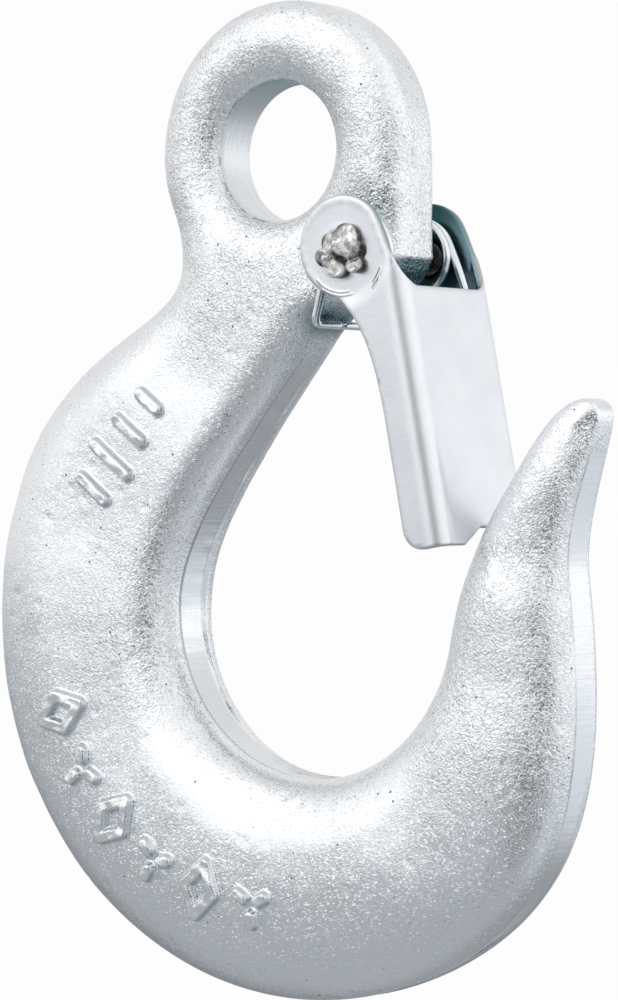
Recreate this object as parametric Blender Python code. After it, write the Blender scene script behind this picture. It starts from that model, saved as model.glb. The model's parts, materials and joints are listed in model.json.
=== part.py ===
"""Eye slip hook with a sprung safety latch, for quarter-inch chain.

The hook is a drop forging whose two halves mirror about the plane Y = 0. Its eye is at the
top, its throat opens towards +X, and the latch hangs from a rivet in a lug beside the eye.
The origin is the centre of the eye, from which the hook hangs. Metres, +Z up.
"""

import math

import bmesh
import bpy
import numpy as np
from mathutils import Vector
from mathutils.geometry import delaunay_2d_cdt, interpolate_bezier

# ---- Driving dimensions ----------------------------------------------------------------
EYE_HOLE_R = 0.0075
EYE_OUTER_CENTRE = (0.0005, 0.0002)
EYE_OUTER_R = 0.0160
BOWL_INNER_CENTRE = (0.0045, -0.0494)
BOWL_INNER_R = 0.0179
BOWL_OUTER_CENTRE = (0.0024, -0.0505)
BOWL_OUTER_R = 0.0406
RIVET_CENTRE = (0.0124, -0.0115)

LUG_BOSS_R = 0.0038
LUG_BOTTOM_Z = -0.0118
LUG_HALF_THICKNESS = 0.0042
LUG_FACE_R = 0.0047
LUG_FACE_RUN_OUT = 0.0030
RIVET_HOLE_R = 0.0021

RIVET_SHANK_R = 0.0018
RIVET_HEAD_R = 0.0029
RIVET_HEAD_HEIGHT = 0.0015
RIVET_PETALS = 5
RIVET_PETAL_SHARE = 0.09

SHEET_THICKNESS = 0.0009
LATCH_HALF_WIDTH = 0.0088
LATCH_BEND_R = 0.0022
LATCH_EAR_R = 0.00535
LATCH_EAR_RISE = 0.0006
LATCH_EAR_INSET = 0.0007
LATCH_EAR_STEP = 0.0009
LATCH_WEB_OFFSET = 0.0069
LATCH_WEB_TOP = 0.0050
LATCH_TOP_FILLET = 0.0020
LATCH_LENGTH = 0.0325
LATCH_FLANGE_EDGE = 0.0020
LATCH_EDGE_STARTS = 0.0190
LATCH_LEAN = math.radians(11.0)
LATCH_CORNER_R = 0.0023
LATCH_NOTCH_DEPTH = 0.0018
LATCH_NOTCH_HALF_WIDTH = 0.0036
LATCH_NOTCH_SLOPE = 0.0022

SPRING_WIRE_R = 0.00045
SPRING_COIL_R = 0.0039
SPRING_PITCH = 0.00095
SPRING_INNER_Y = 0.0050
SPRING_LEG_START = 168.7
SPRING_LEG_END = 25.0
SPRING_TURNS = 1
SPRING_BRIDGE = (0.0064, -0.0188)
SPRING_BRIDGE_CORNER = 0.0009
SPRING_ARM_REACH = 0.0150

CLEARANCE = 0.0003

# ---- Mesh fineness ---------------------------------------------------------------------
OUTLINE_STEP = 0.0024
GRID_STEP = 0.0030
INSET_RINGS = (0.0007, 0.0020)
ROUND_SIDES = 24

# Half thickness of the forging at places along it: (x, z, half thickness).
THICKNESS_STATIONS = (
    (0.000, 0.012, 0.0047),
    (-0.012, 0.000, 0.0047),
    (0.012, 0.000, 0.0047),
    (-0.004, -0.018, 0.0054),
    (-0.020, -0.033, 0.0064),
    (-0.026, -0.052, 0.0070),
    (-0.012, -0.075, 0.0074),
    (0.010, -0.080, 0.0074),
    (0.026, -0.068, 0.0068),
    (0.030, -0.052, 0.0060),
    (0.033, -0.040, 0.0048),
    (0.039, -0.029, 0.0034),
)


# ---- Outline of the forging, on its parting plane --------------------------------------
def polar(centre, radius, degrees):
    angle = math.radians(degrees)
    return (centre[0] + radius * math.cos(angle), centre[1] + radius * math.sin(angle))


def arc(centre, radius, start, end, step):
    """Points along an arc from start to end, in degrees, anticlockwise if end is larger."""
    count = max(2, round(abs(math.radians(end - start)) * radius / step))
    return [polar(centre, radius, start + (end - start) * i / count) for i in range(count + 1)]


def bezier(start, start_handle, end_handle, end, step):
    """Points along a cubic curve, spaced about a step apart."""
    corners = [Vector((x, z)) for x, z in (start, start_handle, end_handle, end)]
    length = sum((b - a).length for a, b in zip(corners, corners[1:]))
    count = max(2, round(length / step))
    return [tuple(point) for point in interpolate_bezier(*corners, count + 1)]


def along(point, degrees, distance):
    """The point a distance away, in a direction."""
    return polar(point, distance, degrees)


def forging_outline(step):
    """The stretches of the outer contour, anticlockwise, each (points, band, rounding).

    band is half the height of the flat strip that trimming the flash leaves, and rounding is
    how far in from the contour the surface takes to reach full thickness. Both are given at
    the stretch's start and end.
    """
    eye_right = polar(EYE_OUTER_CENTRE, EYE_OUTER_R, 0)
    eye_left = polar(EYE_OUTER_CENTRE, EYE_OUTER_R, 194)
    neck_left = (-0.0130, -0.0120)
    shoulder = polar(BOWL_OUTER_CENTRE, BOWL_OUTER_R, 155)
    heel = polar(BOWL_OUTER_CENTRE, BOWL_OUTER_R, 300)
    tip_waist = (0.0360, -0.0450)
    tip_back = (0.0394, -0.0294)
    tip_top = (0.0370, -0.0271)
    tip_front = (0.0285, -0.0365)
    bowl_right = polar(BOWL_INNER_CENTRE, BOWL_INNER_R, -10)
    bowl_left = polar(BOWL_INNER_CENTRE, BOWL_INNER_R, 174)
    neck = (0.0044, -0.0200)
    boss_left = polar(RIVET_CENTRE, LUG_BOSS_R, 262)
    boss_right = polar(RIVET_CENTRE, LUG_BOSS_R, 345)
    lug_corner = (eye_right[0], LUG_BOTTOM_Z)
    return (
        (arc(EYE_OUTER_CENTRE, EYE_OUTER_R, 0, 194, step), (0.0017, 0.0015), (0.0048, 0.0050)),
        (
            bezier(eye_left, along(eye_left, 284, 0.003), along(neck_left, 88, 0.004), neck_left, step),
            (0.0015, 0.0015),
            (0.0050, 0.0060),
        ),
        (
            bezier(neck_left, along(neck_left, 268, 0.0065), along(shoulder, 65, 0.0155), shoulder, step),
            (0.0015, 0.0015),
            (0.0060, 0.0080),
        ),
        (arc(BOWL_OUTER_CENTRE, BOWL_OUTER_R, 155, 300, step), (0.0015, 0.0013), (0.0080, 0.0110)),
        (
            bezier(heel, along(heel, 30, 0.018), along(tip_waist, 276, 0.017), tip_waist, step),
            (0.0013, 0.0018),
            (0.0110, 0.0060),
        ),
        (
            bezier(tip_waist, along(tip_waist, 92, 0.006), along(tip_back, 256, 0.006), tip_back, step),
            (0.0018, 0.0018),
            (0.0060, 0.0040),
        ),
        (
            bezier(tip_back, along(tip_back, 80, 0.0022), along(tip_top, 15, 0.0020), tip_top, step),
            (0.0018, 0.0014),
            (0.0040, 0.0040),
        ),
        (
            bezier(tip_top, along(tip_top, 195, 0.0040), along(tip_front, 55, 0.0050), tip_front, step),
            (0.0014, 0.0016),
            (0.0040, 0.0045),
        ),
        (
            bezier(tip_front, along(tip_front, 235, 0.0060), along(bowl_right, 80, 0.005), bowl_right, step),
            (0.0016, 0.0020),
            (0.0045, 0.0060),
        ),
        (arc(BOWL_INNER_CENTRE, BOWL_INNER_R, -10, -186, step), (0.0020, 0.0022), (0.0060, 0.0048)),
        (
            bezier(bowl_left, along(bowl_left, 84, 0.008), along(neck, 232, 0.012), neck, step),
            (0.0022, 0.0015),
            (0.0048, 0.0040),
        ),
        (
            bezier(neck, along(neck, 52, 0.003), along(boss_left, 180, 0.002), boss_left, step),
            (0.0015, 0.0018),
            (0.0040, 0.0015),
        ),
        (arc(RIVET_CENTRE, LUG_BOSS_R, 262, 345, step), (0.0018, 0.0018), (0.0015, 0.0015)),
        (bezier(boss_right, boss_right, lug_corner, lug_corner, step), (0.0018, 0.0018), (0.0015, 0.0020)),
        (bezier(lug_corner, lug_corner, eye_right, eye_right, step), (0.0018, 0.0017), (0.0020, 0.0048)),
    )


# ---- Surface of the forging ------------------------------------------------------------
class Contour:
    """One chain of points on the parting plane, with the band and rounding along it."""

    def __init__(self, points, bands, roundings):
        self.points = np.array(points)
        self.bands = np.array(bands)
        self.roundings = np.array(roundings)

    def measure(self, places):
        """Distance to the chain from each place, and the band and rounding at the nearest point."""
        starts = self.points[:-1]
        runs = self.points[1:] - starts
        offsets = places[:, None, :] - starts[None, :, :]
        shares = np.clip((offsets * runs).sum(2) / (runs * runs).sum(1), 0.0, 1.0)
        gaps = np.linalg.norm(offsets - shares[:, :, None] * runs, axis=2)
        nearest = gaps.argmin(1)
        rows = np.arange(len(places))
        share = shares[rows, nearest]
        band = self.bands[nearest] * (1 - share) + self.bands[nearest + 1] * share
        rounding = self.roundings[nearest] * (1 - share) + self.roundings[nearest + 1] * share
        return gaps[rows, nearest], band, rounding


def chain(stretches):
    """Join stretches of outline end to end into one contour."""
    points, bands, roundings = [], [], []
    for stretch, band, rounding in stretches:
        for i, point in enumerate(stretch):
            if points and i == 0:
                continue
            share = i / (len(stretch) - 1)
            points.append(point)
            bands.append(band[0] + (band[1] - band[0]) * share)
            roundings.append(rounding[0] + (rounding[1] - rounding[0]) * share)
    return Contour(points, bands, roundings)


def smooth_step(value):
    value = np.clip(value, 0.0, 1.0)
    return value * value * (3 - 2 * value)


def full_half_thickness(places):
    """Half thickness far from any edge: the stations blended, and flat faces on the lug."""
    stations = np.array(THICKNESS_STATIONS)
    gaps = np.linalg.norm(places[:, None, :] - stations[None, :, :2], axis=2) + 1e-6
    weights = gaps ** -3.0
    thickness = (weights * stations[:, 2]).sum(1) / weights.sum(1)
    from_rivet = np.linalg.norm(places - np.array(RIVET_CENTRE), axis=1)
    away = smooth_step((from_rivet - LUG_FACE_R) / LUG_FACE_RUN_OUT)
    return LUG_HALF_THICKNESS + (thickness - LUG_HALF_THICKNESS) * away


def half_thickness(places, contours):
    """Half thickness of the forging: the trim band at its edges, rounding up to the full one."""
    rise = np.ones(len(places))
    band_sum = np.zeros(len(places))
    weight_sum = np.zeros(len(places))
    for contour in contours:
        gap, band, rounding = contour.measure(places)
        share = np.clip(gap / rounding, 0.0, 1.0)
        rise *= np.sqrt(1 - (1 - share) ** 2)
        weight = 1 / (gap + 1e-6) ** 2
        band_sum += weight * band
        weight_sum += weight
    band = band_sum / weight_sum
    return band + (full_half_thickness(places) - band) * rise


def inside(places, loop):
    """Which places lie inside a closed loop of points."""
    crossings = np.zeros(len(places), dtype=int)
    for (x0, z0), (x1, z1) in zip(loop, np.roll(loop, -1, axis=0)):
        spans = (z0 > places[:, 1]) != (z1 > places[:, 1])
        if z0 != z1:
            crossing_x = x0 + (places[:, 1] - z0) * (x1 - x0) / (z1 - z0)
            crossings += spans & (places[:, 0] < crossing_x)
    return crossings % 2 == 1


def inset_ring(loop, distance):
    """Points a distance to the left of a closed loop, which is inside an anticlockwise one."""
    forward = np.roll(loop, -1, axis=0) - np.roll(loop, 1, axis=0)
    forward /= np.linalg.norm(forward, axis=1)[:, None]
    return loop + distance * np.stack([-forward[:, 1], forward[:, 0]], axis=1)


def grid_places(low, high, step):
    """A grid of triangles' corners that fills a rectangle."""
    rows = np.arange(low[1], high[1], step * math.sqrt(3) / 2)
    columns = np.arange(low[0], high[0], step)
    return np.array([(x + step / 2 * (i % 2), z) for i, z in enumerate(rows) for x in columns])


def thin_out(places, kept, spacing):
    """Add places to the kept ones, leaving out any closer than the spacing to one before it."""
    kept = list(kept)
    for place in places:
        if np.min(np.linalg.norm(np.array(kept) - place, axis=1)) >= spacing:
            kept.append(place)
    return kept


def triangulate(loops, extra, spacing):
    """Triangles that fill the first loop outside the others, through the extra places too.

    Returns the places, the triangles, and the edges of the loops.
    """
    points = []
    edges = []
    for loop in loops:
        first = len(points)
        points += [tuple(point) for point in loop]
        edges += [(first + i, first + (i + 1) % len(loop)) for i in range(len(loop))]
    points = thin_out(extra, points, spacing)
    corners, _, triangles, _, _, _ = delaunay_2d_cdt([Vector(p) for p in points], edges, [], 0, 1e-9)
    corners = np.array([tuple(corner) for corner in corners])
    middles = corners[np.array(triangles)].mean(1)
    keep = inside(middles, np.array(loops[0]))
    for loop in loops[1:]:
        keep &= ~inside(middles, np.array(loop))
    return corners, [tuple(triangle) for triangle, kept in zip(triangles, keep) if kept], edges


def forging_contours(step):
    """The outer contour in its two sides, and the eye's hole, as contours and closed loops."""
    stretches = forging_outline(step)
    outer_side = chain(stretches[:6])
    throat_side = chain(stretches[6:])
    hole = chain([(arc((0.0, 0.0), EYE_HOLE_R, 360, 0, step), (0.0020, 0.0020), (0.0046, 0.0046))])
    outer_loop = np.concatenate([outer_side.points[:-1], throat_side.points[:-1]])
    return (outer_side, throat_side, hole), (outer_loop, hole.points[:-1])


# ---- Building objects ------------------------------------------------------------------
def make_object(name, corners, faces, material, origin=(0.0, 0.0, 0.0)):
    """A smooth-shaded mesh object whose corners are world places, with its own origin."""
    mesh = bpy.data.meshes.new(name)
    origin = Vector(origin)
    mesh.from_pydata([Vector(corner) - origin for corner in corners], [], faces)
    shape = bmesh.new()
    shape.from_mesh(mesh)
    bmesh.ops.recalc_face_normals(shape, faces=shape.faces)
    shape.to_mesh(mesh)
    shape.free()
    mesh.shade_smooth()
    mesh.set_sharp_from_angle(angle=math.radians(40))
    mesh.materials.append(material)
    item = bpy.data.objects.new(name, mesh)
    item.location = origin
    bpy.context.scene.collection.objects.link(item)
    return item


def make_material(name, colour, roughness):
    material = bpy.data.materials.new(name)
    material.use_nodes = True
    shader = material.node_tree.nodes["Principled BSDF"]
    shader.inputs["Base Color"].default_value = (*colour, 1.0)
    shader.inputs["Roughness"].default_value = roughness
    shader.inputs["Metallic"].default_value = 1.0
    return material


def build_hook_body():
    """The forging: two mirrored faces over its outline, joined by the trimmed band."""
    contours, (outer_loop, eye_loop) = forging_contours(OUTLINE_STEP)
    rivet_loop = np.array(arc(RIVET_CENTRE, RIVET_HOLE_R, 360, 0, OUTLINE_STEP / 2)[:-1])
    extra = [inset_ring(loop, distance) for loop in (outer_loop, eye_loop) for distance in INSET_RINGS]
    extra.append(np.array(arc(RIVET_CENTRE, LUG_FACE_R, 0, 360, OUTLINE_STEP)))
    extra.append(grid_places(outer_loop.min(0), outer_loop.max(0), GRID_STEP))
    extra = np.concatenate(extra)
    gaps = np.stack([contour.measure(extra)[0] for contour in contours]).min(0)
    from_rivet = np.linalg.norm(extra - np.array(RIVET_CENTRE), axis=1)
    clear = inside(extra, outer_loop) & ~inside(extra, eye_loop)
    clear &= (gaps > INSET_RINGS[0] * 0.9) & (from_rivet > RIVET_HOLE_R * 1.3)
    loops = (outer_loop, eye_loop, rivet_loop)
    places, triangles, rim = triangulate(loops, extra[clear], INSET_RINGS[1] * 0.6)
    heights = half_thickness(places, contours)
    count = len(places)
    corners = [(x, -y, z) for (x, z), y in zip(places, heights)]
    corners += [(x, y, z) for (x, z), y in zip(places, heights)]
    faces = [(a, b, c) for a, b, c in triangles]
    faces += [(count + c, count + b, count + a) for a, b, c in triangles]
    faces += [(b, a, count + a, count + b) for a, b in rim]
    return make_object("hook_body", corners, faces, make_material("zinc_forging", (0.72, 0.74, 0.75), 0.42))


# ---- Latch -----------------------------------------------------------------------------
# Middle of the sheet in the latch's own axes, and run, which is measured along the sheet from
# the middle of the web, round the bend and down the flange.
WEB_MIDDLE = LATCH_WEB_OFFSET - SHEET_THICKNESS / 2
FLANGE_MIDDLE = LATCH_HALF_WIDTH - SHEET_THICKNESS / 2
BEND_MIDDLE_R = LATCH_BEND_R - SHEET_THICKNESS / 2
WEB_FLAT_RUN = FLANGE_MIDDLE - BEND_MIDDLE_R
FLANGE_START_RUN = WEB_FLAT_RUN + math.pi / 2 * BEND_MIDDLE_R
RIVET_RUN = FLANGE_START_RUN + WEB_MIDDLE - BEND_MIDDLE_R


def latch_half_pattern(step):
    """Half of the flat pattern's edge, from the web's top middle to its bottom middle.

    Places are (run, height), and are drawn first as (distance from the rivet, height).
    """
    ear = (0.0, LATCH_EAR_RISE)
    ear_low = polar(ear, LATCH_EAR_R, 240)
    edge_top = (LATCH_FLANGE_EDGE, -LATCH_EDGE_STARTS)
    corner = (LATCH_FLANGE_EDGE + LATCH_CORNER_R, -LATCH_LENGTH + LATCH_CORNER_R)
    fillet = (LATCH_EAR_R + LATCH_TOP_FILLET, -LATCH_WEB_TOP + LATCH_TOP_FILLET)
    notch_top = LATCH_NOTCH_HALF_WIDTH - LATCH_NOTCH_SLOPE
    half = [(RIVET_RUN, -LATCH_WEB_TOP)]
    half += arc(fillet, LATCH_TOP_FILLET, 270, 180, step)
    half += arc(ear, LATCH_EAR_R, 0, 240, step)
    half += bezier(ear_low, along(ear_low, 330, 0.004), along(edge_top, 90, 0.008), edge_top, step)[1:]
    half += arc(corner, LATCH_CORNER_R, 180, 270, step)
    half.append((RIVET_RUN - LATCH_NOTCH_HALF_WIDTH, -LATCH_LENGTH))
    half.append((RIVET_RUN - notch_top, -LATCH_LENGTH + LATCH_NOTCH_DEPTH))
    return [(RIVET_RUN - distance, height) for distance, height in half]


def mirrored(places):
    """The same places on the other side of the web's middle."""
    return [(-run, height) for run, height in places]


def bend_sheet(run, height):
    """Where a place on the flat pattern lies, in the latch's own axes, once it is bent."""
    side = abs(run)
    turn = min(max((side - WEB_FLAT_RUN) / BEND_MIDDLE_R, 0.0), math.pi / 2)
    x = WEB_MIDDLE - BEND_MIDDLE_R * (1 - math.cos(turn)) - max(side - FLANGE_START_RUN, 0.0)
    y = min(side, WEB_FLAT_RUN) + BEND_MIDDLE_R * math.sin(turn)
    from_rivet = RIVET_RUN - side
    from_ear = math.hypot(from_rivet, height - LATCH_EAR_RISE)
    pressed = 1 - float(smooth_step((from_ear - LATCH_EAR_R) / LATCH_EAR_STEP))
    x += pressed * (from_rivet - x)
    y += pressed * (FLANGE_MIDDLE - LATCH_EAR_INSET - y)
    return (x, math.copysign(y, run), height)


def build_latch():
    """The latch: a flat pattern of sheet, bent into a channel with an ear on each flange."""
    step = OUTLINE_STEP / 2
    half = latch_half_pattern(step)
    outline = np.array(half + mirrored(reversed(half[1:])))
    hole = [(RIVET_RUN - p, v) for p, v in arc((0.0, 0.0), RIVET_HOLE_R, 0, 360, step)[:-1]]
    far_hole = mirrored(hole)
    rows = round(LATCH_LENGTH / GRID_STEP)
    extra = []
    for i in range(rows + 1):
        bend_runs = np.linspace(WEB_FLAT_RUN, FLANGE_START_RUN, 5)
        extra += [(run, -LATCH_LENGTH * i / rows) for run in bend_runs]
    for radius in (LATCH_EAR_R, LATCH_EAR_R + LATCH_EAR_STEP / 2, LATCH_EAR_R + LATCH_EAR_STEP):
        ring = arc((0.0, LATCH_EAR_RISE), radius, 0, 360, step)
        extra += [(RIVET_RUN - distance, height) for distance, height in ring]
    extra = np.array(extra + mirrored(extra))
    no_band = np.zeros(len(outline) + 1)
    edge = Contour(np.concatenate([outline, outline[:1]]), no_band, no_band + 1)
    from_hole = np.hypot(np.abs(extra[:, 0]) - RIVET_RUN, extra[:, 1])
    clear = inside(extra, outline) & (edge.measure(extra)[0] > 0.0004) & (from_hole > RIVET_HOLE_R * 1.25)
    places, triangles, _ = triangulate((outline, hole, far_hole), extra[clear], 0.0005)
    corners = [latch_to_world(bend_sheet(run, height)) for run, height in places]
    rivet = (RIVET_CENTRE[0], 0.0, RIVET_CENTRE[1])
    material = make_material("zinc_sheet", (0.78, 0.80, 0.82), 0.30)
    latch = make_object("latch", corners, triangles, material, rivet)
    solidify = latch.modifiers.new("sheet", "SOLIDIFY")
    solidify.thickness = SHEET_THICKNESS
    solidify.offset = 0.0
    return latch


def latch_to_world(place):
    """From the latch's own axes (X out of its web, Z up its length) to the hook's."""
    x, y, z = place
    lean_cos = math.cos(LATCH_LEAN)
    lean_sin = math.sin(LATCH_LEAN)
    return (
        RIVET_CENTRE[0] + x * lean_cos - z * lean_sin,
        y,
        RIVET_CENTRE[1] + x * lean_sin + z * lean_cos,
    )


def build_rivet():
    """The rivet: a shank through lug and ears, a crushed head in front and a domed one behind."""
    inner = LATCH_HALF_WIDTH - LATCH_EAR_INSET + CLEARANCE
    outer = inner + RIVET_HEAD_HEIGHT
    petals = RIVET_PETAL_SHARE
    stations = (
        (-outer, RIVET_HEAD_R * 0.45, petals * 0.3),
        (-outer + 0.0003, RIVET_HEAD_R * 0.80, petals),
        (-inner - 0.0004, RIVET_HEAD_R, petals),
        (-inner, RIVET_HEAD_R * 0.95, petals),
        (-inner, RIVET_SHANK_R, 0.0),
        (inner, RIVET_SHANK_R, 0.0),
        (inner, RIVET_HEAD_R, 0.0),
        (inner + 0.0005, RIVET_HEAD_R * 0.97, 0.0),
        (inner + 0.0010, RIVET_HEAD_R * 0.75, 0.0),
        (outer, RIVET_HEAD_R * 0.40, 0.0),
    )
    corners = []
    for y, station_radius, petal_share in stations:
        for i in range(ROUND_SIDES):
            angle = 2 * math.pi * i / ROUND_SIDES
            radius = station_radius * (1 + petal_share * math.cos(RIVET_PETALS * angle))
            x, z = polar(RIVET_CENTRE, radius, math.degrees(angle))
            corners.append((x, y, z))
    faces = [tuple(range(ROUND_SIDES)), tuple(range(len(corners) - ROUND_SIDES, len(corners)))]
    for ring in range(len(stations) - 1):
        for i in range(ROUND_SIDES):
            a = ring * ROUND_SIDES + i
            b = ring * ROUND_SIDES + (i + 1) % ROUND_SIDES
            faces.append((a, b, b + ROUND_SIDES, a + ROUND_SIDES))
    return make_object("latch_rivet", corners, faces, make_material("rivet_steel", (0.50, 0.48, 0.46), 0.35))


def spring_path():
    """The wire of the rear half: bridge middle, leg, coil about the rivet, arm in the latch."""
    bridge_x, bridge_z = SPRING_BRIDGE
    leg_foot = Vector((bridge_x, SPRING_INNER_Y, bridge_z))
    x, z = polar(RIVET_CENTRE, SPRING_COIL_R, SPRING_LEG_START)
    leg_top = Vector((x, SPRING_INNER_Y, z))
    leg_turn = leg_foot.lerp(leg_top, SPRING_BRIDGE_CORNER / (leg_top - leg_foot).length)
    bridge_turn = leg_foot - Vector((0.0, SPRING_BRIDGE_CORNER, 0.0))
    path = [Vector((bridge_x, 0.0, bridge_z))]
    path += interpolate_bezier(
        bridge_turn, bridge_turn.lerp(leg_foot, 0.6), leg_turn.lerp(leg_foot, 0.6), leg_turn, 5
    )
    sweep = SPRING_LEG_START - SPRING_LEG_END + 360 * SPRING_TURNS
    count = round(sweep / 20)
    for i in range(count + 1):
        turned = sweep * i / count
        x, z = polar(RIVET_CENTRE, SPRING_COIL_R, SPRING_LEG_START - turned)
        path.append(Vector((x, SPRING_INNER_Y + SPRING_PITCH * turned / 360, z)))
    arm_start = path[-1]
    leave = math.radians(SPRING_LEG_END - 90)
    arm_x = LATCH_WEB_OFFSET - SHEET_THICKNESS - SPRING_WIRE_R - CLEARANCE
    meet = Vector(latch_to_world((arm_x, arm_start.y, -SPRING_ARM_REACH * 0.55)))
    end = Vector(latch_to_world((arm_x, arm_start.y, -SPRING_ARM_REACH)))
    first_handle = arm_start + Vector((math.cos(leave), 0.0, math.sin(leave))) * 0.002
    second_handle = meet - (end - meet).normalized() * 0.003
    path += interpolate_bezier(arm_start, first_handle, second_handle, meet, 6)[1:]
    path.append(end)
    return path


def build_spring():
    """The double torsion spring: one wire, a coil on each side of the lug and a bridge between."""
    rear = spring_path()
    wire = [Vector((p.x, -p.y, p.z)) for p in reversed(rear)] + rear[1:]
    curve = bpy.data.curves.new("latch_spring", "CURVE")
    curve.dimensions = "3D"
    curve.bevel_depth = SPRING_WIRE_R
    curve.bevel_resolution = 1
    curve.use_fill_caps = True
    spline = curve.splines.new("POLY")
    spline.points.add(len(wire) - 1)
    origin = Vector((RIVET_CENTRE[0], 0.0, RIVET_CENTRE[1]))
    for point, place in zip(spline.points, wire):
        point.co = (*(place - origin), 1.0)
    curve.materials.append(make_material("spring_wire", (0.70, 0.72, 0.74), 0.22))
    spring = bpy.data.objects.new("latch_spring", curve)
    spring.location = origin
    bpy.context.scene.collection.objects.link(spring)
    return spring


def main():
    for item in list(bpy.data.objects):
        bpy.data.objects.remove(item, do_unlink=True)
    build_hook_body()
    build_latch()
    build_rivet()
    build_spring()


main()
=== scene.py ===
"""Looks of the eye slip hook with a sprung safety latch.

Each CAD node is replaced by a finer mesh of the same size in the same place: the forging with its
grainy faces, trimmed band and raised marks, the bent sheet with rounded edges, the crushed rivet
and the wound spring. Metres, +Z up, in the CAD frame.
"""

import json
import math

import bmesh
import bpy
import numpy as np
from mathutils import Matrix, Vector, noise
from mathutils.geometry import delaunay_2d_cdt, interpolate_bezier
from mathutils.kdtree import KDTree


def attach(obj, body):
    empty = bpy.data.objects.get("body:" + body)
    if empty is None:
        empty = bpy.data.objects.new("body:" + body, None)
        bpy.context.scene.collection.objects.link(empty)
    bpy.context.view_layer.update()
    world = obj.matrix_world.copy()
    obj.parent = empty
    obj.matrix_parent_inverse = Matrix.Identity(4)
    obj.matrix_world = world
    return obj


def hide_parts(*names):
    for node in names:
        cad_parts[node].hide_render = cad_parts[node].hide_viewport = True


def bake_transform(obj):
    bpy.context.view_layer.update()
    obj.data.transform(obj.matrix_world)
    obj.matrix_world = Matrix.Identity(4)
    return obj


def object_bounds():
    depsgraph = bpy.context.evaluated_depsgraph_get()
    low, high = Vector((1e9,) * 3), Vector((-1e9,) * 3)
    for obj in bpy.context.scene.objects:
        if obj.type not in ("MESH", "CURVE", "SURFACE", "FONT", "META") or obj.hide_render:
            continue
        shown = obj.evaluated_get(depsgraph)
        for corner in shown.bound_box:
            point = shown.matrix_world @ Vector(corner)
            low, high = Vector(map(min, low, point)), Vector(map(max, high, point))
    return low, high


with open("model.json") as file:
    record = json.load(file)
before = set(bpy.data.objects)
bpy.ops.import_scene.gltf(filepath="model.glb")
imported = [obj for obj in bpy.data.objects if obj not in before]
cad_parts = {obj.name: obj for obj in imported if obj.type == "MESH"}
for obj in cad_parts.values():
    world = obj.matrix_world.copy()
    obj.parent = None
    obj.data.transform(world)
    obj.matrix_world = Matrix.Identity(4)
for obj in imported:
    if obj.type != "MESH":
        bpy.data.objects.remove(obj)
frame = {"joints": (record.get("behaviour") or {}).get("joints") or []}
cad_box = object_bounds()

# ---- Dimensions that the CAD model shares ----------------------------------------------
MM = 0.001
HINGE = frame["joints"][0]["pos_m"]
RIVET_CENTRE = (HINGE[0], HINGE[2])

EYE_HOLE_R = 0.0075
# Band and rounding along the edge of the eye's hole.
EYE_HOLE_EDGE = (0.0020, 0.0046)
EYE_OUTER_CENTRE = (0.0005, 0.0002)
EYE_OUTER_R = 0.0160
BOWL_INNER_CENTRE = (0.0045, -0.0494)
BOWL_INNER_R = 0.0179
BOWL_OUTER_CENTRE = (0.0024, -0.0505)
BOWL_OUTER_R = 0.0406

LUG_BOSS_R = 0.0038
LUG_BOTTOM_Z = -0.0118
LUG_HALF_THICKNESS = 0.0042
LUG_FACE_R = 0.0047
LUG_FACE_RUN_OUT = 0.0042
# Round the seam where the outer and throat contours meet, only the nearer one rounds the face.
SEAM_REACH = 0.0050
RIVET_HOLE_R = 0.0021

RIVET_SHANK_R = 0.0018
RIVET_HEAD_R = 0.0029
RIVET_HEAD_HEIGHT = 0.00128

SHEET_THICKNESS = 0.0009
LATCH_HALF_WIDTH = 0.0088
LATCH_BEND_R = 0.0022
LATCH_EAR_R = 0.00535
LATCH_EAR_RISE = 0.0006
LATCH_EAR_INSET = 0.00025
LATCH_EAR_STEP = 0.0014
LATCH_WEB_OFFSET = 0.0069
LATCH_WEB_TOP = 0.0050
LATCH_TOP_FILLET = 0.0026
LATCH_SHOULDER_ANGLE = 38
LATCH_SHOULDER_WIDTH = 0.0031
LATCH_LENGTH = 0.0325
LATCH_FLANGE_EDGE = 0.0020
LATCH_EDGE_STARTS = 0.0190
LATCH_LEAN = math.radians(11.0)
LATCH_CORNER_R = 0.0023
LATCH_NOTCH_DEPTH = 0.0018
LATCH_NOTCH_HALF_WIDTH = 0.0045
LATCH_NOTCH_SLOPE = 0.0033
EAR_RIM_GAP = 0.00045
EAR_RIM_WIDTH = 0.00022
EAR_RIM_HEIGHT = 0.00006
EAR_RUN_OUT = 0.002
# Arcs that the punch left round the rivet: (radius, middle direction, half angle).
PRESS_MARKS = (
    (0.00425, 252, 34),
    (0.00462, 262, 28),
    (0.00520, 330, 12),
    (0.00560, 322, 8),
)

SPRING_WIRE_R = 0.00045
SPRING_COIL_R = 0.0039
SPRING_PITCH = 0.00095
SPRING_INNER_Y = 0.0050
SPRING_LEG_START = 168.7
SPRING_LEG_END = 25.0
SPRING_TURNS = 1
SPRING_BRIDGE = (0.0064, -0.0188)
SPRING_BRIDGE_CORNER = 0.0009
SPRING_ARM_REACH = 0.0150

CLEARANCE = 0.0003

# Half thickness of the forging at places along it: (x, z, half thickness).
THICKNESS_STATIONS = (
    (0.000, 0.012, 0.0047),
    (-0.012, 0.000, 0.0047),
    (0.012, 0.000, 0.0047),
    (-0.004, -0.018, 0.0054),
    (-0.020, -0.033, 0.0064),
    (-0.026, -0.052, 0.0070),
    (-0.012, -0.075, 0.0074),
    (0.010, -0.080, 0.0074),
    (0.026, -0.068, 0.0068),
    (0.030, -0.052, 0.0060),
    (0.033, -0.040, 0.0048),
    (0.039, -0.029, 0.0034),
)

# ---- Fineness of the meshes ------------------------------------------------------------
OUTLINE_STEP = 0.00042
GRID_STEP = 0.00039
MARK_STEP = 0.00019
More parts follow.
